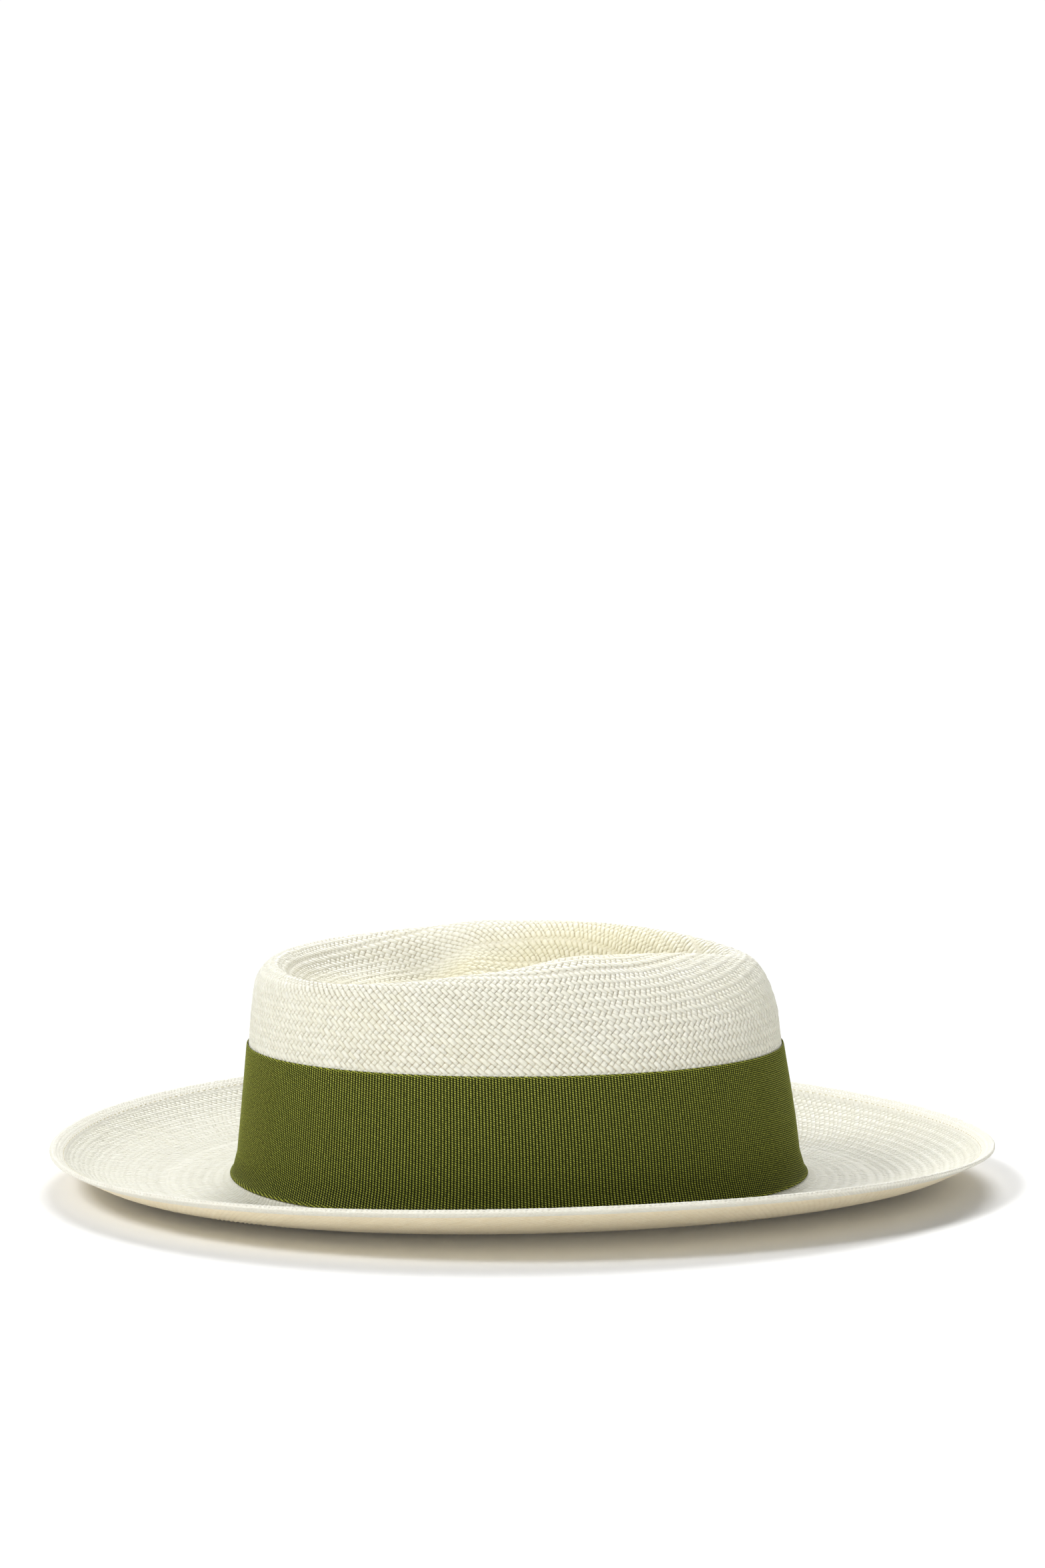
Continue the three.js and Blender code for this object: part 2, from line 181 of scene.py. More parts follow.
class Patch:
    """A grid of points, meridians round the hat by rows along them, read at any angle and row."""

    def __init__(self, points):
        self.points = points
        self.rows = points.shape[1] - 1
        along = np.gradient(points, axis=1)
        around = np.roll(points, -1, 0) - np.roll(points, 1, 0)
        self.normals = unit(np.cross(along, around))

    def read(self, grid, turn, row):
        return between(grid, turn % 1.0 * len(grid), np.clip(row, 0, self.rows))

    def at(self, turn, row, lift):
        turn, row = np.asarray(turn, float), np.asarray(row, float)
        normal = unit(self.read(self.normals, turn, row))
        return self.read(self.points, turn, row) + normal * np.asarray(lift)[..., None]

    def girth(self, row):
        ring = self.points[:, int(row)]
        return np.linalg.norm(np.roll(ring, -1, 0) - ring, axis=-1).sum()

    def under(self, depth):
        """The other face of the straw, resting on the floor where it would go below."""
        other = Patch(self.points - self.normals * depth)
        other.points[..., 2] = np.maximum(other.points[..., 2], 0.0)
        other.normals = -other.normals
        return other


ANGLES = angles_round(360)  # of the meridians

# Soft swellings and hollows of the dent: centre, reach along and across, and height.
SWELLS = (
    (-19, 35, 10, 21, 3.8),
    (-37, 30, 10, 20, -4.2),
    (10, 16, 26, 14, -2.6),
    (-14, -38, 24, 16, -2.6),
    (20, -50, 16, 13, 1.9),
)


def swell(x, y):
    total = 0.0
    for cx, cy, a, b, high in SWELLS:
        total += high * math.exp(-(((x - cx) / a) ** 2) - ((y - cy) / b) ** 2)
    return total


def crown_tree():
    """The crown's upper face as a fine mesh, to drop points onto."""
    count, deep = 480, 260
    grid = straw(angles_round(count), np.linspace(0, PLACE["upper_wall"], deep)).reshape(-1, 3)
    i, j = np.meshgrid(np.arange(count), np.arange(deep - 1), indexing="ij")
    near, far = i * deep + j, (i + 1) % count * deep + j
    quads = np.stack([near, near + 1, far + 1, far], -1).reshape(-1, 4)
    return BVHTree.FromPolygons(grid.tolist(), quads.tolist())


def crown_lines():
    """Meridians from the middle of the dent, straight out in plan, then down to the band."""
    tree = crown_tree()
    wall = straw(ANGLES, np.linspace(PLACE["upper_wall"], PLACE["band_top"] + 0.2, 40))
    middle = oval("middle", np.zeros(1))[0]
    shares = np.sin(np.linspace(0, 1, 150)[1:-1] * SIDE)
    down = Vector((0, 0, -1))
    lines = []
    for edge in wall[:, 0]:
        line = [middle]
        for share in shares:
            x, y = middle[:2] + (edge[:2] - middle[:2]) * share
            line.append(tree.ray_cast(Vector((x, y, 200)), down)[0] + Vector((0, 0, swell(x, y))))
        lines.append(line)
    return np.concatenate([np.array(lines, float), wall], 1)


def row_patch(lines):
    """A patch whose rows are about ROW apart, in whole repeats of the weave."""
    length = lengths(lines)[:, -1].mean()
    return Patch(even_rows(lines, REPEAT * round(length / ROW / REPEAT)))


def meridian_patch(first, last):
    return row_patch(straw(ANGLES, np.linspace(first, last, 120)))


# ---- meshes ----
def link(made):
    bpy.context.scene.collection.objects.link(made)
    return made


def make_mesh(name, points, faces, material, uvs, values=None):
    """An object from points in millimetres. values are numbers for each point or each face."""
    mesh = bpy.data.meshes.new(name)
    mesh.from_pydata((points * MM).tolist(), [], faces)
    for layer, corners in uvs.items():
        mesh.uv_layers.new(name=layer).data.foreach_set("uv", np.asarray(corners, np.float32).ravel())
    for (layer, domain), data in (values or {}).items():
        held = mesh.attributes.new(layer, "FLOAT", domain).data
        held.foreach_set("value", np.asarray(data, np.float32))
    mesh.materials.append(material)
    mesh.polygons.foreach_set("use_smooth", [True] * len(mesh.polygons))
    mesh.update()
    piece = link(bpy.data.objects.new(name, mesh))
    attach(piece, "root")
    return piece


# ---- weave ----
class Weave:
    """Strands of straw laid over a patch in a two-and-one twill: in two rows of crossings of
    three the strands leaning right lie on top, in the third the ones leaning left."""

    LEAN = (0.05, 0.04, 0.05)  # sideways drift of each row of three, in columns
    GAPS = (1.0, 0.7, 1.0)  # how open the crossings of each row are
    DARKEST = 0.32  # depth at which a crossing's groove takes its full painted shade, in millimetres
    LOOSE = 0.1  # how far strands stray from even spacing, in columns
    MOST = 0.2  # the furthest any strand strays
    NARROW = 0.76  # where strands get narrower than this share of the widest, fewer go on
    FAN = ((0, 0), (1, 0), (0.5, 1))  # grain of a triangle whose last corner is raised

    def __init__(self, patch, height, depth, fine=True, flip=False, widest=1.05):
        self.patch, self.height, self.depth, self.widest = patch, height, depth, widest
        self.fine, self.flip = fine, flip
        self.points, self.depths, self.faces, self.tones = [], [], [], []
        self.map, self.grain, self.count = [], [], 0

    def add(self, points, depths):
        self.points.append(points.reshape(-1, 3))
        self.depths.append(np.broadcast_to(depths, points.shape[:-1]).ravel())
        ids = self.count + np.arange(points.size // 3).reshape(points.shape[:-1])
        self.count += ids.size
        return ids

    def zones(self, first, last):
        """Bands of rows with one number of strands each, found from the outermost row inwards."""
        row, zones = last, []
        while row > first:
            columns = max(8, round(self.patch.girth(row) / (COLUMN * self.widest)))
            start = row - REPEAT
            narrow = COLUMN * self.widest * self.NARROW
            while start > first and self.patch.girth(start - REPEAT) / columns > narrow:
                start -= REPEAT
            zones.append((max(start, first), row, columns))
            row = start
        return zones[::-1]

    def weave(self, first, last):
        for start, end, columns in self.zones(first, last):
            self.zone(start, end, columns)
            if first > 0 and start == first:
                self.cap(start)
        return self

    @staticmethod
    def right(spot):
        """The next crossing down a strand that leans right."""
        row, k = spot
        return row + 1, k + row % 2

    @staticmethod
    def left(spot):
        row, k = spot
        return row + 1, k + row % 2 - 1

    def net(self, start, end, n):
        """Crossings of n strands each way, sunk into the patch, in the rows from start to end."""
        rows = np.arange(start, end + 1)[:, None]
        cols = np.arange(n)[None, :]
        steps = [self.LEAN[(r - start) % REPEAT] for r in range(start, end)]
        drift = np.concatenate([[0], np.cumsum(steps)])[:, None]
        u_line = (cols - rows // 2) % n
        v_line = (cols + (rows + 1) // 2) % n
        u_shift = rng.normal(0, self.LOOSE, n).clip(-self.MOST, self.MOST)
        v_shift = rng.normal(0, self.LOOSE, n).clip(-self.MOST, self.MOST)
        inner = ((rows > start) & (rows < end)).astype(float)
        self.column = cols + 0.5 * (rows % 2) + drift + (v_shift[v_line] - u_shift[u_line]) / 2 * inner
        self.row = rows + (u_shift[u_line] + v_shift[v_line]) * inner
        hole = np.array(self.GAPS)[(rows - start) % REPEAT] * rng.uniform(0.5, 1.2, self.column.shape)
        hole = hole * (0.35 + 0.65 * inner)
        self.n, self.start, self.span = n, start, n + 4 + drift[-1, 0]
        sunk = self.depth * hole
        points = self.patch.at(self.column / n, self.row, -sunk)
        # each crossing's depth is kept as a share of DARKEST, which sets how much painted groove shade it
        # takes
        self.ids = self.add(points, np.minimum(sunk / self.DARKEST, 1))

    def zone(self, start, end, n):
        self.net(start, end, n)
        self.u_tone, self.v_tone = rng.normal(0, 1, n), rng.normal(0, 1, n)
        k = np.arange(n)
        right, left = self.right, self.left
        for r in range(start, end, REPEAT):
            top = (r, k)
            side = right(top)
            self.floats([top, side, right(side)], [left(top), left(side), left(right(side))], False)
            top = (r + 2, k)
            if r + REPEAT < end:
                self.floats([top, left(top)], [right(top), left(right(top))], True)
        self.fillers([(start, k), (start, k + 1), (start + 1, k + start % 2)])
        self.fillers([left((end - 1, k)), right((end - 1, k)), (end - 1, k)])

    def corner(self, row, k):
        """Vertex, column counted on past the seam, and row of a crossing."""
        r, spot = row - self.start, k % self.n
        return self.ids[r, spot], self.column[r, spot] + (k - spot), self.row[r, spot]

    def floats(self, side_a, side_b, leans_left):
        a = [(*self.corner(*c), (i, 0.0)) for i, c in enumerate(side_a)]
        b = [(*self.corner(*c), (i, 1.0)) for i, c in enumerate(side_b)]
        top, k = side_a[0]
        line = (k + (top + 1) // 2 if leans_left else k - top // 2) % self.n
        strand = (self.v_tone if leans_left else self.u_tone)[line]
        tone = 0.55 + 0.12 * strand + rng.normal(0, 0.07, self.n)
        lift = self.height * (1 + 0.12 * strand.clip(-1.5, 1.5)) * rng.uniform(0.8, 1.15, self.n)
        seed = rng.integers(0, 50, self.n) * 1.0
        build = self.pillow if self.fine else self.tent
        build(a, b, lift, tone, seed, leans_left != self.flip)

    def raised(self, a, b, lift):
        """Corners of a float's raised top, drawn in from its sides and lower at its two ends."""
        last = len(a) - 1
        rings = []
        for i in range(last + 1):
            near = a[i][1:], b[i][1:]
            step = 1 if i == 0 else -1 if i == last else 0
            pull = (0.12 if last > 1 else 0.09) * abs(step)
            slim = 0.2 if step and last > 1 else 0.12
            on = (a[i + step][1:], b[i + step][1:])
            mix = [[near[m][c] * (1 - pull) + on[m][c] * pull for c in (0, 1)] for m in (0, 1)]
            high = lift * (0.8 if step else 1.0)
            for m, side in ((0, 0.13), (1, 0.87)):
                col = mix[m][0] * (1 - slim) + mix[1 - m][0] * slim
                row = mix[m][1] * (1 - slim) + mix[1 - m][1] * slim
                ids = self.add(self.patch.at(col / self.n, row, high), 0.0)
                rings.append((ids, col, row, (i + 0.11 * step, side)))
        return rings[0::2], rings[1::2]

    def pillow(self, a, b, lift, tone, seed, turned):
        """A float with a raised top: 8 quads, or 5 where it is only one crossing long."""
        last = len(a) - 1
        ra, rb = self.raised(a, b, lift)
        quads = [(b[0], a[0], ra[0], rb[0]), (a[last], b[last], rb[last], ra[last])]
        for i in range(last):
            quads.append((ra[i], ra[i + 1], rb[i + 1], rb[i]))
            quads.append((a[i], a[i + 1], ra[i + 1], ra[i]))
            quads.append((b[i + 1], b[i], rb[i], rb[i + 1]))
        for quad in quads:
            self.put(quad, tone, seed, turned)

    def middle(self, ring, lift, spot=None):
        """A raised corner in the middle of a ring of corners."""
        col, row = (sum(c[axis] for c in ring) / len(ring) for axis in (1, 2))
        return self.add(self.patch.at(col / self.n, row, lift), 0.0), col, row, spot

    def tent(self, a, b, lift, tone, seed, turned):
        """A simpler float for hidden faces: each crossing rises to one middle point."""
        for i in range(len(a) - 1):
            ring = [a[i], a[i + 1], b[i + 1], b[i]]
            top = self.middle(ring, lift, (i + 0.5, 0.5))
            for j in range(4):
                self.put((ring[j], ring[(j + 1) % 4], top), tone, seed, turned)

    def fillers(self, side):
        ring = [self.corner(*c) for c in side]
        top = self.middle(ring, self.height * 0.8)
        tone = 0.5 + rng.normal(0, 0.12, self.n)
        seed = rng.integers(0, 50, self.n) * 1.0
        for j in range(3):
            self.put((ring[j], ring[(j + 1) % 3], top), tone, seed, self.flip, self.FAN)

    def put(self, corners, tone, seed, turned, spots=None):
        way = -1 if turned else 1
        corners, spots = corners[::way], (spots or [c[3] for c in corners])[::way]
        self.faces.append(np.stack([c[0] for c in corners], -1))
        self.tones.append(tone)
        flat = [np.stack([(c[1] + 2) / self.span, c[2] / self.patch.rows], -1) for c in corners]
        self.map.append(np.stack(flat, 1).reshape(-1, 2))
        grain = [np.stack([along + seed, across + seed * 3], -1) for along, across in spots]
        self.grain.append(np.stack(grain, 1).reshape(-1, 2))

    def cap(self, row):
        """Closes the middle of the crown with a fan."""
        k = np.arange(self.n)
        ring = [self.corner(row, k), self.corner(row, k + 1)]
        zero = np.zeros(self.n)
        middle = self.add(self.patch.at(zero[:1], zero[:1], zero[:1] + self.height), 0.0)
        top = (np.repeat(middle, self.n), ring[0][1] + 0.5, zero)
        self.put((ring[1], ring[0], top), zero + 0.5, zero, self.flip, self.FAN)

    def piece(self, name, material):
        points = np.concatenate(self.points)
        depths = np.concatenate(self.depths)
        faces = [face for group in self.faces for face in group.tolist()]
        corners = {"OFBake": np.concatenate(self.map), "grain": np.concatenate(self.grain)}
        values = {("depth", "POINT"): depths, ("tone", "FACE"): np.concatenate(self.tones)}
        made = make_mesh(name, points, faces, material, corners, values)
        mark_creases(made.data, depths > 0)
        return made


def mark_creases(mesh, low):
    """Shades each float on its own: edges along the bottom of the grooves are sharp."""
    ends = np.empty(len(mesh.edges) * 2, int)
    mesh.edges.foreach_get("vertices", ends)
    ends = ends.reshape(-1, 2)
    sharp = low[ends[:, 0]] & low[ends[:, 1]]
    mesh.attributes.new("sharp_edge", "BOOLEAN", "EDGE").data.foreach_set("value", sharp)


# ---- ribbon, leather and thread ----
class Wall:
    """Level curves of the crown's wall, to lay the band, the bow and the sweatband along."""

    LOW, HIGH, LEVELS, ROUND = 1.5, 60.0, 118, 720

    def __init__(self):
        lines = straw(angles_round(self.ROUND), np.linspace(PLACE["crease"], PLACE["upper_wall"], 240))
        levels = np.linspace(self.LOW, self.HIGH, self.LEVELS)
        self.flat = np.empty((self.ROUND, self.LEVELS, 2))
        for i, line in enumerate(lines):
            for axis in (0, 1):
                self.flat[i, :, axis] = np.interp(levels, line[:, 2], line[:, axis])
        tangent = np.roll(self.flat, -1, 0) - np.roll(self.flat, 1, 0)
        self.out = unit(np.stack([tangent[..., 1], -tangent[..., 0]], -1))

    def at(self, angle, height, out):
        angle, height, out = np.broadcast_arrays(angle, height, out)
        x = (angle / TURN % 1.0) * self.ROUND
        y = (height - self.LOW) / (self.HIGH - self.LOW) * (self.LEVELS - 1)
        y = np.clip(y, 0, self.LEVELS - 1.001)
        flat = between(self.flat, x, y) + unit(between(self.out, x, y)) * out[..., None]
        return np.concatenate([flat, height[..., None]], -1)

    def even_angles(self, count, height):
        """Angles of equally spaced points round the wall."""
        angles = np.linspace(0, TURN, 2 * self.ROUND + 1)
        length = lengths(self.at(angles, height, 0.0))
        return np.interp(np.linspace(0, length[-1], count, endpoint=False), length, angles), length[-1]


def smooth_path(points, step, closed=False):
    """Evenly spaced points along a centripetal Catmull-Rom curve."""
    p = np.array(points, float)
    p = np.vstack([p[-1:], p, p[:2]] if closed else [2 * p[:1] - p[1:2], p, 2 * p[-1:] - p[-2:-1]])
    line = []

    def mix(first, last, start, end):
        return (first * (end - t) + last * (t - start)) / (end - start)

    for a, b, c, d in zip(p, p[1:], p[2:], p[3:]):
        t0, t1, t2, t3 = np.cumsum([0.0, *(np.linalg.norm(v) ** 0.5 for v in (b - a, c - b, d - c))])
        t = np.linspace(t1, t2, 40, endpoint=False)[:, None]
        ab, bc, cd = mix(a, b, t0, t1), mix(b, c, t1, t2), mix(c, d, t2, t3)
        line.append(mix(mix(ab, bc, t0, t2), mix(bc, cd, t1, t3), t1, t2))
    line = np.vstack([*line, p[-2:-1]])
    length = lengths(line)
    count = max(4, round(length[-1] / step))
    at = np.linspace(0, length[-1], count, endpoint=not closed)
    return np.stack([np.interp(at, length, line[:, axis]) for axis in range(2)], -1)


# Across a ribbon's edge: distance in from the edge, and how much of the thickness is there.
SELVEDGE = ((0, 0), (0.1, 0.75), (0.35, 1.0), (0.9, 1.0), (1.15, 0.3), (1.4, 1.0))
SAMPLES = 6  # points along the ribbon for each rib
EDGE = 0.5  # width of the plain thread along a ribbon's edge
RELIEF = 0.28  # how deep the grooves between the ribs are
SCALLOP = 0.14  # how far each rib stands out at the ribbon's edge


def lifted(path, lift, closed):
    """Distances along and out of points lifted square off a path."""
    before, after = np.roll(path, 1, 0), np.roll(path, -1, 0)
    if not closed:
        before[0], after[-1] = path[0], path[-1]
    along = unit(after - before)
    return path[:, :1] + along[:, 1:] * lift, path[:, 1:] - along[:, :1] * lift


def both_faces(across, full, step):
    """A closed section: across one face of a strip and back along the other, every step-th point."""
    back = slice(-2, 0, -step)
    return np.concatenate([across, across[back]]), np.concatenate([full, -full[back]])


def ribbon(name, path, width, place, closed=False):
    """Grosgrain ribbon along a path: ribs across it and a narrow plain line along both edges.
    place turns a distance along, a distance out and a distance across into points."""
    inset, full = np.array(SELVEDGE, float).T
    middle = np.linspace(inset[-1], width - inset[-1], 8)[1:-1]
    across = np.concatenate([inset, middle, width - inset[::-1]])
    across, sides = both_faces(across, np.concatenate([full, np.ones(6), full[::-1]]), 2)
    s = path[:, :1]
    rib = np.abs(np.sin(np.arange(len(path)) * math.pi / SAMPLES))[:, None]
    wave = 0.06 * np.sin(s * 0.11 + across * 0.13) + 0.05 * np.sin(s * 0.31 - across * 0.07)
    lift = (CLOTH / 2 - RELIEF * (1 - rib)) * sides + wave * (sides > 0)
    spread = SCALLOP * rib * ((across > width - 0.05) * 1.0 - (across < 0.05))
    points = place(*lifted(path, lift, closed), across + spread)
    edge = np.tile((across < EDGE) | (across > width - EDGE), len(path))
    cloth = np.arange(len(path) + 1) / SAMPLES, np.append(across, across[0])
    return tube(name, points, RIBBON_LOOK, closed, cloth, {("edge", "POINT"): edge})


def face_corners(i, j, along, girth):
    """Places of the four corners of each face on a map, from the place of each row and column."""
    corners = ((i, j), (i + 1, j), (i + 1, j + 1), (i, j + 1))
    return np.stack([np.stack([along[a], girth[b]], -1) for a, b in corners], -2).reshape(-1, 2)


def tube(name, points, material, closed, cloth=None, values=None):
    """A skin over closed sections, rows along the first axis; open tubes get flat ends. cloth is
    the place of each row and each column on the map that the ribbon's look follows."""
    n, m = points.shape[:2]
    rows = n if closed else n - 1
    i, j = np.meshgrid(np.arange(rows), np.arange(m), indexing="ij")
    i2, j2 = (i + 1) % n, (j + 1) % m
    faces = np.stack([i * m + j, i2 * m + j, i2 * m + j2, i * m + j2], -1).reshape(-1, 4).tolist()
    uvs = {"OFBake": face_corners(i, j, np.arange(n + 1) / n, np.arange(m + 1) / m) * 0.998 + 0.001}
    if cloth is not None:
        uvs["cloth"] = face_corners(i, j, *cloth)
    if not closed:
        faces += [list(range(m - 1, -1, -1)), list(range((n - 1) * m, n * m))]
        uvs = {layer: np.concatenate([spots, np.zeros((2 * m, 2))]) for layer, spots in uvs.items()}
    return make_mesh(name, points.reshape(-1, 3), faces, material, uvs, values)


def stitches(name, starts, ends, ups, radius, material):
    """Short rounded threads between pairs of points."""
    along = ends - starts
    side = unit(np.cross(along, ups))
    ups = unit(np.cross(side, along))
    shape = ((0.0, 0.05), (0.08, 0.75), (0.3, 1.0), (0.7, 1.0), (0.92, 0.75), (1.0, 0.05))
    rings = []
    for share, size in shape:
        sag = (1 - size) * radius * 1.5
        centre = starts + along * share - ups * sag
        ring = [centre + radius * size * (side * math.cos(t) + ups * math.sin(t)) for t in angles_round(7)]
        rings.append(np.stack(ring, 1))
    points = np.stack(rings, 1)
    n, m, k = points.shape[:3]
    thread, i, j = np.meshgrid(np.arange(n), np.arange(m - 1), np.arange(k), indexing="ij")
    ring, j2 = (thread * m + i) * k, (j + 1) % k
    faces = np.stack([ring + k + j, ring + k + j2, ring + j2, ring + j], -1).reshape(-1, 4)
    spots = np.stack([thread / n, (i * k + j) / (m * k)], -1).reshape(-1, 1, 2)
    spots = spots + np.array([[0, 0], [0, 0.02], [0.5 / n, 0.02], [0.5 / n, 0]])
    return make_mesh(name, points.reshape(-1, 3), faces.tolist(), material, {"OFBake": spots.reshape(-1, 2)})


# ---- materials ----
class Nodes:
    """The nodes of a material or of the world."""

    def __init__(self, owner):
        owner.use_nodes = True
        self.tree = owner.node_tree

    def add(self, kind, **inputs):
        node = self.tree.nodes.new(f"ShaderNode{kind}")
        for key, value in inputs.items():
            self.feed(node.inputs[key.replace("_", " ")], value)
        return node

    def feed(self, socket, value):
        """Links a socket to another node's output, or gives it a plain value."""
        if isinstance(value, bpy.types.NodeSocket):
            self.tree.links.new(value, socket)
        else:
            socket.default_value = value

    def range(self, value, low, high, to_low=0.0, to_high=1.0):
        node = self.add("MapRange", Value=value, From_Min=low, From_Max=high, To_Min=to_low, To_Max=to_high)
        return node.outputs["Result"]


class Look(Nodes):
    """A material's nodes, built from the shader backwards."""

    def __init__(self, name, **sockets):
        self.material = bpy.data.materials.new(name)
        super().__init__(self.material)
        self.shader = self.tree.nodes["Principled BSDF"]
        for key, value in sockets.items():
            self.feed(self.shader.inputs[key.replace("_", " ")], value)

    def attribute(self, name):
        node = self.add("Attribute")
        node.attribute_name = name
        return node.outputs["Fac"]

    def uv(self, layer, stretch):
        node = self.add("UVMap")
        node.uv_map = layer
        return self.add("Mapping", Vector=node.outputs["UV"], Scale=(*stretch, 1)).outputs["Vector"]

    def place(self):
        """Position on the object in millimetres."""
        coords = self.add("TexCoord").outputs["Object"]
        return self.add("Mapping", Vector=coords, Scale=(1000.0, 1000.0, 1000.0)).outputs["Vector"]

    def noise(self, vector, scale, detail=2.0, rough=0.5):
        return self.add("TexNoise", Vector=vector, Scale=scale, Detail=detail, Roughness=rough).outputs["Fac"]

    def within(self, centre, half):
        """One in the middle of an oval on the hat, seen from above, falling to nothing at its edge."""
        scale = [1000 / half[0], 1000 / half[1], 0]
        middle = [-c / h for c, h in zip(centre, half)]
        coords = self.add("TexCoord").outputs["Object"]
        spot = self.add("Mapping", Vector=coords, Scale=scale, Location=(*middle, 0)).outputs["Vector"]
        away = self.add("VectorMath", Vector=spot)
        away.operation = "LENGTH"
        return self.range(away.outputs["Value"], 0.7, 1.0, 1.0, 0.0)

    def ramp(self, value, *stops):
        node = self.add("ValToRGB", Fac=value)
        while len(node.color_ramp.elements) < len(stops):
            node.color_ramp.elements.new(0.5)
        for element, (at, color) in zip(node.color_ramp.elements, stops):
            element.position = at
            element.color = (*color, 1)
        return node.outputs["Color"]

    def math(self, operation, a, b=0.0):
        node = self.add("Math")
        node.operation = operation
        for socket, value in zip(node.inputs, (a, b)):
            self.feed(socket, value)
        return node.outputs["Value"]

    def blend(self, share, a, b, how="MIX"):
        node = self.add("Mix")
        node.data_type = "RGBA"
        node.blend_type = how
        for key, value in ((0, share), (6, a), (7, b)):
            self.feed(node.inputs[key], (*value, 1) if isinstance(value, tuple) else value)
        return node.outputs[2]

    def bump(self, height, strength, distance):
        node = self.add("Bump", Strength=strength, Distance=distance, Height=height)
        self.plug("Normal", node.outputs["Normal"])

    def plug(self, socket, value):
        self.tree.links.new(value, self.shader.inputs[socket])


def straw_look(name, pale, deep, groove_shade, shade, dent=None):
    """Bleached straw: each float has its own tone and fine fibres along it. Painted shade darkens the
    grooves between floats, most where a float's corners dip under, and a dent colour, where given, is a
    painted warm shade over the dent. The grain map counts crossings along a float and one across it."""
    look = Look(name, Specular_IOR_Level=0.35, Sheen_Weight=0.08)
    fibres = look.noise(look.uv("grain", (1.3, 9.0)), 1.0, 3.0, 0.6)
    blotches = look.noise(look.place(), 0.035)
    tone = look.math("ADD", look.attribute("tone"), look.range(blotches, 0.3, 0.7, -0.1, 0.14))
    middle = tuple((p + d) / 2 for p, d in zip(pale, deep))
    color = look.ramp(tone, (0.0, deep), (0.45, middle), (1.0, pale))
    streak = look.ramp(fibres, (0.3, (0.9, 0.9, 0.9)), (0.65, (1, 1, 1)))
    color = look.blend(1.0, color, streak, "MULTIPLY")
    # painted warm shade over the dent: the straw's colour multiplied by the dent colour, full in the middle
    # and fading out near the dent's edge
    if dent is not None:
        color = look.blend(look.within(*DENT_SHADE_SPOT), color, look.blend(1.0, color, dent, "MULTIPLY"))
    spot = look.add("SeparateXYZ", Vector=look.uv("grain", (1.0, 1.0)))
    corner = look.math("MAXIMUM", *(look.math("PINGPONG", spot.outputs[axis], 0.5) for axis in "XY"))
    # painted shade in the grooves: the groove colour mixed in by depth, fuller at a float's corners than
    # along its sides
    low = look.math("MULTIPLY", look.attribute("depth"), look.range(corner, 0.05, 0.4, shade, shade * 0.45))
    look.plug("Base Color", look.blend(low, color, groove_shade))
    look.plug("Roughness", look.range(fibres, 0.3, 0.7, 0.48, 0.66))
    look.bump(fibres, 0.35, 0.00012)
    return look.material


def ribbon_look():
    """Olive grosgrain: painted glints of twisted yarn on the ribs and along the edge threads, over a dark
    olive ground, and painted shade nearly black between the ribs. The cloth map counts ribs along the
    ribbon and millimetres across it."""
    look = Look(
        "olive_grosgrain", Roughness=0.6, Specular_IOR_Level=0.06, Sheen_Weight=0.12, Sheen_Roughness=0.4
    )
    look.shader.inputs["Sheen Tint"].default_value = (0.7, 0.75, 0.3, 1)
    cloth = look.uv("cloth", (1.0, 1.0))
    parts = look.add("SeparateXYZ", Vector=cloth)
    ribs, up = parts.outputs["X"], parts.outputs["Y"]
    crest = look.math("PINGPONG", ribs, 0.5)
    slant = look.math("MULTIPLY", look.math("FRACT", ribs), 0.75)
    rib_shift = look.math("MULTIPLY", look.math("FLOOR", ribs), 0.37)
    shifted = look.math("ADD", look.math("DIVIDE", up, 0.75), rib_shift)
    twist = look.math("PINGPONG", look.math("ADD", shifted, slant), 0.5)
    on_crest = look.range(crest, 0.12, 0.4)
    on_thread = look.math("MAXIMUM", on_crest, look.attribute("edge"))
    # painted glints: a bright yarn colour laid in a twisted pattern on the rib crests and the edge threads
    glint = look.math("MULTIPLY", look.range(twist, 0.14, 0.42), on_thread)
    uneven = look.noise(look.add("Mapping", Vector=cloth, Scale=(0.9, 1.5, 1)).outputs["Vector"], 1.0)
    painted_glint = look.math("MULTIPLY", glint, look.range(uneven, 0.3, 0.65, 0.35, 1.0))
    # the ribbon's own dark olive on the crests, and painted shade near black in the grooves between ribs
    ground_and_valley_shade = look.blend(on_crest, (0.006, 0.008, 0.001), (0.03, 0.037, 0.003))
    look.plug("Base Color", look.blend(painted_glint, ground_and_valley_shade, (0.5, 0.53, 0.085)))
    look.bump(twist, 0.5, 0.00015)
    return look.material


def leather_look(name, pale, deep):
    look = Look(name, Specular_IOR_Level=0.4)
    spot = look.place()
    mottle = look.noise(spot, 0.09, 4.0, 0.6)
    pores = look.add("TexVoronoi", Vector=spot, Scale=1.4)
    look.plug("Base Color", look.ramp(mottle, (0.3, deep), (0.7, pale)))
    look.plug("Roughness", look.range(mottle, 0.3, 0.7, 0.42, 0.6))
    look.bump(pores.outputs["Distance"], 0.3, 0.00015)
    return look.material


def cloth_look(name, pale, deep, pitch):
    """Fine threads side by side, for the label, the reed's cover, the back bow and the stitches."""
    look = Look(name, Roughness=0.8, Specular_IOR_Level=0.2, Sheen_Weight=0.15)
    spot = look.place()
    wave = look.add("TexWave", Vector=spot, Scale=0.3 / pitch, Distortion=1.5, Detail=1.0)
    look.plug("Base Color", look.ramp(wave.outputs["Fac"], (0.2, deep), (0.8, pale)))
    look.bump(wave.outputs["Fac"], 0.4, 0.0001)
    return look.material


def steel_look():
    look = Look("steel_wire", Metallic=1.0)
    drawn = look.noise(look.place(), 0.8)
    look.plug("Base Color", look.ramp(drawn, (0.3, (0.42, 0.43, 0.44)), (0.7, (0.6, 0.61, 0.62))))
    look.plug("Roughness", look.range(drawn, 0.3, 0.7, 0.28, 0.42))
    return look.material


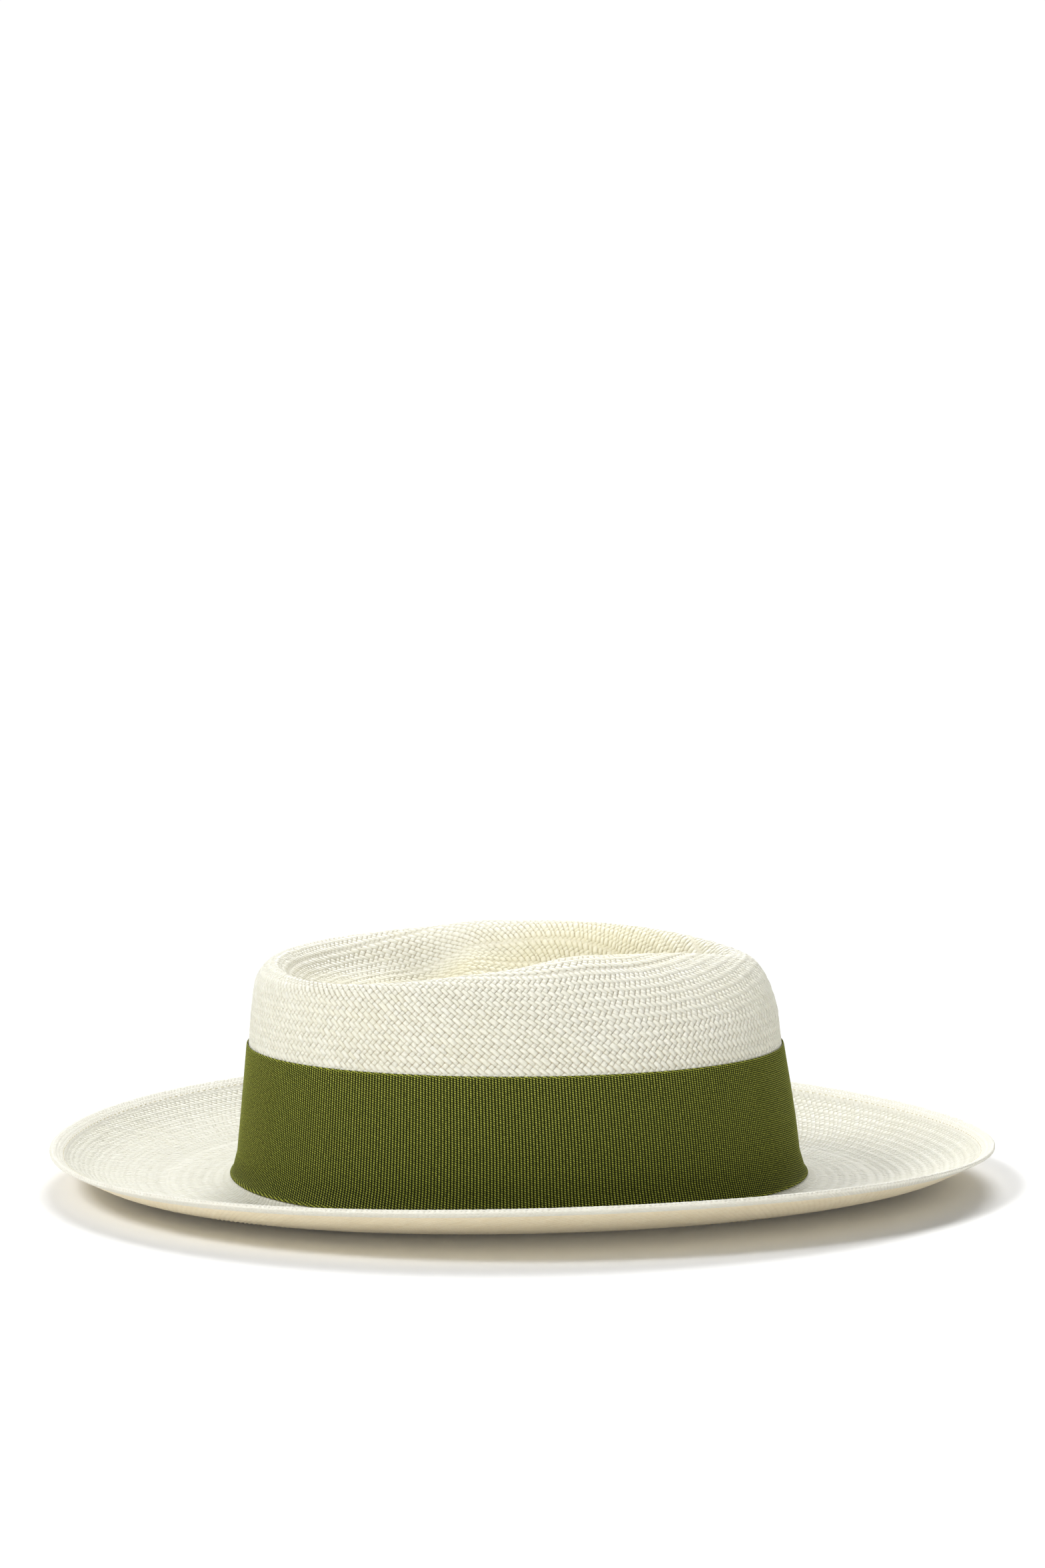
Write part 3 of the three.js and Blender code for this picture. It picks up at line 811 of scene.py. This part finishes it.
DENT_SHADE_SPOT = (-7, 0), (82, 55)  # middle and half size of the dent, over which the straw takes a painted warm shade
# In each straw look the colour after pale and deep is painted shade for the grooves, and the number after it
# is how much of it is laid on; the bleached straw's last colour is a painted warm shade over the dent.
STRAW_LOOK = straw_look(
    "bleached_straw", (0.77, 0.76, 0.67), (0.71, 0.69, 0.56), (0.4, 0.31, 0.17), 0.8, (1.0, 0.97, 0.84)
)
HEM_LOOK = straw_look("hem_straw", (0.84, 0.83, 0.74), (0.79, 0.76, 0.65), (0.4, 0.31, 0.17), 0.8)
# The under faces' straw is lighter and warmer than the upper faces': a painted glow standing in for light
# through the thin straw and light bounced up from the floor, with orange painted shade in its grooves.
UNDER_GLOW_LOOK = straw_look("underside_straw_painted_glow", (0.95, 0.86, 0.65), (0.88, 0.77, 0.53), (0.62, 0.44, 0.2), 0.6)
RIBBON_LOOK = ribbon_look()
LEATHER_LOOK = leather_look("tan_leather", (0.5, 0.27, 0.12), (0.36, 0.17, 0.07))
REED_LOOK = cloth_look("reed_tape", (0.46, 0.25, 0.12), (0.3, 0.14, 0.06), 0.8)
BACK_RIBBON_LOOK = cloth_look("sweatband_ribbon", (0.42, 0.22, 0.1), (0.26, 0.12, 0.05), 0.9)
THREAD_LOOK = cloth_look("straw_thread", (0.8, 0.76, 0.58), (0.6, 0.54, 0.36), 0.4)
SEAT_THREAD_LOOK = cloth_look("sweatband_thread", (0.75, 0.66, 0.46), (0.5, 0.42, 0.26), 0.4)
LABEL_LOOK = cloth_look("label_cloth", (0.86, 0.83, 0.74), (0.7, 0.66, 0.56), 0.45)
STEEL_LOOK = steel_look()


# ---- the straw ----
def brim_edge(angles):
    """Middle of the straw along the brim's edge, the way out over it and the way up from it."""
    ends = straw(angles, np.array([LAST - 0.1, LAST]))
    tip, out = ends[:, 1], unit(ends[:, 1] - ends[:, 0])
    up = unit(np.cross(out, np.roll(tip, -1, 0) - np.roll(tip, 1, 0)))
    return tip - up * STRAW / 2, out, up


def hem_patch():
    """Sections over the brim's edge, from the upper face round the fold to the underside."""
    tip, out, up = brim_edge(ANGLES)
    turn = np.linspace(SIDE, -SIDE, 9)
    width, face = HEM["width"], HEM["face"]
    edge = face * np.stack([np.cos(turn) - 1, np.sin(turn)], -1)
    start = np.array([[-width - 0.5, STRAW * 0.45], [0.6 - width, face * 0.88], [HEM["lead"] - width, face]])
    section = np.vstack([start, edge, start[::-1] * [1, -1]])
    points = tip[:, None] + out[:, None] * section[:, :1] + up[:, None] * section[:, 1:]
    fine = np.linspace(0, len(section) - 1, 80)
    k = np.minimum(fine.astype(int), len(section) - 2)
    t = (fine - k)[:, None]
    points = points[:, k] * (1 - t) + points[:, k + 1] * t
    return Patch(even_rows(points, HEM["rows"]))


BUTTON = 2 * REPEAT  # rows in the middle of the crown that a fan of straw closes
WALL_END = PLACE["low_wall"] + 0.3


def build_straw():
    """The shell in three parts, each with an upper face and an under face, and the hem."""
    last_ring = OVALS["edge"]["a"] - OVALS["brim_outer"]["a"]
    hem_inner = LAST - (HEM["width"] - HEM["lead"]) / last_ring
    crown = row_patch(crown_lines())
    wall = meridian_patch(PLACE["band_top"], WALL_END)
    brim = meridian_patch(WALL_END, hem_inner)
    top = Weave(crown, 0.32, 0.34).weave(BUTTON, crown.rows).piece("straw_crown_top", STRAW_LOOK)
    side = Weave(wall, 0.2, 0.2, fine=False).weave(0, wall.rows).piece("straw_crown_wall", STRAW_LOOK)
    flat = Weave(brim, 0.13, 0.15).weave(0, brim.rows).piece("straw_brim_top", STRAW_LOOK)
    pieces = [top, side, flat]
    faces = ((crown, BUTTON, "crown_inside"), (wall, 0, "wall_inside"), (brim, 0, "brim_under"))
    for patch, first, name in faces:
        under = patch.under(STRAW)
        made = Weave(under, 0.2, 0.15, fine=False, flip=True).weave(first, under.rows)
        # the under faces take the straw look with the painted glow
        pieces.append(made.piece(f"straw_{name}", UNDER_GLOW_LOOK))
    for piece in pieces:
        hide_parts("straw_body")
    hem = Weave(hem_patch(), 0.08, 0.1, widest=0.7).weave(0, HEM["rows"]).piece("brim_hem", HEM_LOOK)
    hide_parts("brim_edge_hem")


def hem_thread():
    tip, out, up = brim_edge(angles_round(HEM["stitches"]))
    at = tip - out * (HEM["width"] - 1.2) + up * HEM["face"]
    step = np.roll(at, -1, 0) - at
    made = stitches("brim_stitches", at, at + step * 0.62, up, 0.2, THREAD_LOOK)
    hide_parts("brim_hem_thread")


# ---- the band and bow ----
WALL = Wall()


def layer(count):
    """Middle of a layer of the bow, counted out from the two layers of the band's overlap."""
    return BAND["clear"] + BOW_CLEAR + (2.5 + count) * CLOTH + 2 * GAP + count * (GAP + 0.15)


def declare_ribbon(node):
    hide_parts(node)


def band():
    """Once round the crown and over its own start, under the bow."""
    middle = (BAND["bottom"] + BAND["top"]) / 2
    count = BAND["ribs"] * SAMPLES
    even, girth = WALL.even_angles(count, middle)
    even = np.append(even, TURN)
    lap = round(BAND["overlap"] / girth * BAND["ribs"]) * SAMPLES // 2
    index = np.arange(-lap, count + lap + 1)
    turns, rest = np.divmod(index, count)
    angles = SIDE + even[rest] + turns * TURN
    share = np.clip((index - (count - 3.2 * lap)) / (1.6 * lap), 0, 1)
    over = share * share * (3 - 2 * share)
    out = BAND["clear"] + CLOTH / 2 + (CLOTH + GAP) * over
    along = index * (girth / count)
    width = BAND["top"] - BAND["bottom"]

    def place(s, w, across):
        angle = np.interp(s, along, angles)
        bottom = BAND["bottom"] + BAND["wave"] * np.cos(2 * angle)
        return WALL.at(angle, bottom + (BAND["top"] - bottom) * across / width, w)

    path = np.stack([along, out], -1)
    made = ribbon("band_ribbon", path, width, place)
    declare_ribbon("hat_band")


def along_wall(centre, low, high, lean=0.0):
    """A strip lying along the wall, its width up it; lean cuts the bow tail's end on a slant."""

    def place(s, out, across):
        share = (s - BOW["knot"]) / (BOW["tail"] - BOW["knot"])
        slant = across / (high - low) * lean * share
        return WALL.at(centre + (s - slant) / ARM, low + across, out)

    return place


def bow_ribbon(name, node, path, cut=0.0):
    width = BOW["top"] - BOW["bottom"]
    made = ribbon(name, path, width, along_wall(SIDE, BOW["bottom"], BOW["top"], cut))
    declare_ribbon(node)


def bow_loop(name, node, direction):
    low, high = layer(1), layer(2)
    knot, reach, bulge = BOW["knot"], BOW["reach"], BOW["bulge"]
    points = [
        (1, low), (knot, low), (reach - 8, low), (reach - 1, low + 0.3), (reach, low + 1),
        (reach - 1.6, high + bulge * 0.5), (reach - 9, high + bulge * 0.9), (reach - 20, high + bulge),
        (knot + 9, high + bulge * 0.75), (knot + 3, high + 0.3), (knot + 1, high), (knot - 3, high),
        (1, high),
    ]
    path = smooth_path(points, RIB / SAMPLES)
    path[:, 0] *= direction
    bow_ribbon(name, node, path)


def bow_tail():
    path = smooth_path([(at, layer(0)) for at in (BOW["knot"] + 1.5, 33, BOW["tail"])], RIB / SAMPLES)
    bow_ribbon("tail_ribbon", "bow_tail", path, BOW["cut"])


def bow_knot():
    edge = 2 * GAP + CLOTH / 2
    low, high, bend, straight = BOW["bottom"] - edge, BOW["top"] + edge, 0.4, 2.2
    middle = (low + high) / 2
    points = [
        (low, layer(0.9)), (low + bend, layer(0.15)), (low + straight, layer(0)), (middle, layer(0)),
        (high - straight, layer(0)), (high - bend, layer(0.15)), (high, layer(0.9)),
        (high, layer(2.1)), (high - bend, layer(2.85)), (high - straight, layer(3)), (middle, layer(3.3)),
        (low + straight, layer(3)), (low + bend, layer(2.85)), (low, layer(2.1)),
    ]
    path = smooth_path(points, RIB / SAMPLES, closed=True)
    path = path[: len(path) // SAMPLES * SAMPLES]
    width = 2 * BOW["knot"]

    def place(height, out, across):
        return WALL.at(SIDE + (across - BOW["knot"]) / ARM, height, out)

    made = ribbon("knot_ribbon", path, width, place, closed=True)
    declare_ribbon("bow_knot")


# ---- inside the crown ----
SWEAT_MIDDLE = -(STRAW + SWEAT["clear"] + LEATHER / 2)


def on_leather(thick):
    return SWEAT_MIDDLE - LEATHER / 2 - GAP - thick / 2


def strip(name, path, width, place, material, thick, closed=False):
    """A plain strip with rounded edges."""
    rim = np.array([0, 0.12, 0.4, 1.0])
    across = np.concatenate([rim, np.linspace(2, width - 2, 8), width - rim[::-1]])
    full = np.concatenate([[0, 0.7], np.ones(len(across) - 4), [0.7, 0]])
    across, sides = both_faces(across, full, 1)
    points = place(*lifted(path, thick / 2 * sides, closed), across)
    return tube(name, points, material, closed)


def sweatband():
    s = np.linspace(SWEAT["butt"], TURN * ARM - SWEAT["butt"], 500)
    path = np.stack([s, SWEAT_MIDDLE + 0.08 * np.sin(s * 0.09) + 0.05 * np.sin(s * 0.23)], -1)
    width = SWEAT["top"] - SWEAT["bottom"]
    place = along_wall(BACK, SWEAT["bottom"], SWEAT["top"])
    made = strip("sweatband_leather", path, width, place, LEATHER_LOOK, LEATHER)
    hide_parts("sweatband")


def reed_cover():
    """Tape gathered in small pleats round the reed at the foot of the sweatband."""
    angles, turns = angles_round(3 * REED["pleats"])[:, None], angles_round(12)
    size = REED["radius"] * (1 - REED["pleat"] * np.abs(np.sin(angles * REED["pleats"] / 2)))
    points = WALL.at(angles, REED["height"] + size * np.sin(turns), SWEAT_MIDDLE + size * np.cos(turns))
    made = tube("reed_cover", points, REED_LOOK, True)
    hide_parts("sweatband_reed")


def sweatband_stitches():
    height = SEWN["height"]
    angles, _ = WALL.even_angles(SEWN["stitches"], height)
    at = WALL.at(angles, height, on_leather(0.3))
    up = unit(WALL.at(angles, height, -10.0) - at)
    step = np.roll(at, -1, 0) - at
    sewn = stitches("sweatband_stitches", at, at + step * 0.7, up, 0.22, SEAT_THREAD_LOOK)
    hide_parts("sweatband_thread")


def patch_on_leather(name, node, size, centre, samples, material):
    """A flat strip laid on the leather, its middle at an angle round the crown."""
    half, height = size["width"] / 2, size["top"] - size["bottom"]
    s = np.linspace(-half, half, samples)
    path = np.stack([s, np.full(samples, on_leather(size["thick"]))], -1)
    place = along_wall(centre, size["bottom"], size["top"])
    made = strip(name, path, height, place, material, size["thick"])
    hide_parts(node)


def back_bow():
    """A small flat bow over the cover of the sweatband's seam."""
    half, cloth = BACK_BOW["half"], BACK_BOW["thick"]
    near = on_leather(COVER["thick"]) - COVER["thick"] / 2 - GAP - cloth / 2
    far = near - BACK_BOW["depth"]
    points = [
        (1 - half, near), (0, near), (half - 1, near), (half, (near + far) / 2),
        (half - 2.5, far), (0, near - cloth - GAP), (2.5 - half, far), (-half, (near + far) / 2),
    ]
    spacing = 0.25
    path = smooth_path(points, spacing, closed=True)
    width, length = BACK_BOW["top"] - BACK_BOW["bottom"], len(path) * spacing * MM
    place = along_wall(BACK, BACK_BOW["bottom"], BACK_BOW["top"])
    made = strip("back_bow", path, width, place, BACK_RIBBON_LOOK, cloth, closed=True)
    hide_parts("sweatband_back_bow")


build_straw()
hem_thread()
band()
bow_loop("front_loop_ribbon", "bow_front_loop", -1)
bow_loop("rear_loop_ribbon", "bow_rear_loop", 1)
bow_tail()
bow_knot()
sweatband()
reed_cover()
sweatband_stitches()
patch_on_leather("seam_cover", "sweatband_seam_cover", COVER, BACK, 21, LEATHER_LOOK)
patch_on_leather("blank_label", "size_label", LABEL, -SIDE, 31, LABEL_LOOK)
back_bow()
wire_looks = frame["nodes"]["brim_edge_wire"].data.materials
wire_looks.clear()
wire_looks.append(STEEL_LOOK)

# ---- floor, light and camera ----
FLOOR_DROP = 0.0002


def floor():
    bpy.ops.mesh.primitive_plane_add(size=60, location=(0, 0, -FLOOR_DROP))
    plane = bpy.context.object
    plane.name = "floor"
    look = Look("white_floor", Base_Color=(0.92, 0.92, 0.915, 1), Roughness=0.9, Specular_IOR_Level=0.1)
    plane.data.materials.append(look.material)


def new_lamp(name, kind, energy):
    made = link(bpy.data.objects.new(name, bpy.data.lights.new(name, kind)))
    made.data.energy = energy
    return made


def lamp(name, turn, rise, strength, softness):
    """Even light from far off: turn is the side it comes from, 0 the front of the hat, in degrees."""
    made = new_lamp(name, "SUN", strength)
    made.data.angle = math.radians(softness)
    made.rotation_euler = (0, math.radians(90 - rise), math.radians(turn))


def near_lamp(name, shape, sizes, place, watts, spread=180):
    """A soft lamp close above, facing straight down."""
    made = new_lamp(name, "AREA", watts)
    made.data.shape = shape
    made.data.size, made.data.size_y = sizes
    made.data.spread = math.radians(spread)
    made.location = place
    made.visible_camera = False


def room():
    """A white room, brightest near the horizon."""
    world = bpy.data.worlds.new("white_room")
    bpy.context.scene.world = world
    nodes = Nodes(world)
    parts = nodes.add("SeparateXYZ", Vector=nodes.add("TexCoord").outputs["Generated"])
    background = nodes.tree.nodes["Background"]
    background.inputs["Color"].default_value = (1, 1, 1, 1)
    nodes.feed(background.inputs["Strength"], nodes.range(parts.outputs["Z"], 0.065, 0.3, 1.02, 0.3))


def light():
    """Large soft lamps behind, at the left and low in front, and two above the crown and the floor."""
    room()
    lamp("back_lamp", 84, 40, 2.35, 26)
    lamp("left_lamp", 200, 47, 1.7, 20)
    lamp("front_lamp", -92, 1, 1.32, 16)
    near_lamp("crown_lamp", "DISK", (0.12, 0.12), (0.0, 0, 0.26), 0.14)
    near_lamp("floor_lamp", "RECTANGLE", (1.2, 0.35), (0, -0.47, 0.25), 3.8, 40)
    bpy.context.scene.view_settings.view_transform = "Standard"


TILT = 10.3  # degrees the camera stands above the brim
DISTANCE = 1.8
AIM_UP = 4.64  # degrees it is pointed above the middle of the brim
LENS, SENSOR = 111.7, 36


def camera():
    made = link(bpy.data.objects.new("camera", bpy.data.cameras.new("camera")))
    made.data.sensor_fit = "AUTO"
    made.data.sensor_width = SENSOR
    made.data.lens = LENS
    tilt = math.radians(TILT)
    made.location = (0, -DISTANCE * math.cos(tilt), DISTANCE * math.sin(tilt))
    made.rotation_euler = (math.radians(90 - TILT + AIM_UP), 0, 0)
    bpy.context.scene.camera = made


floor()
light()
camera()
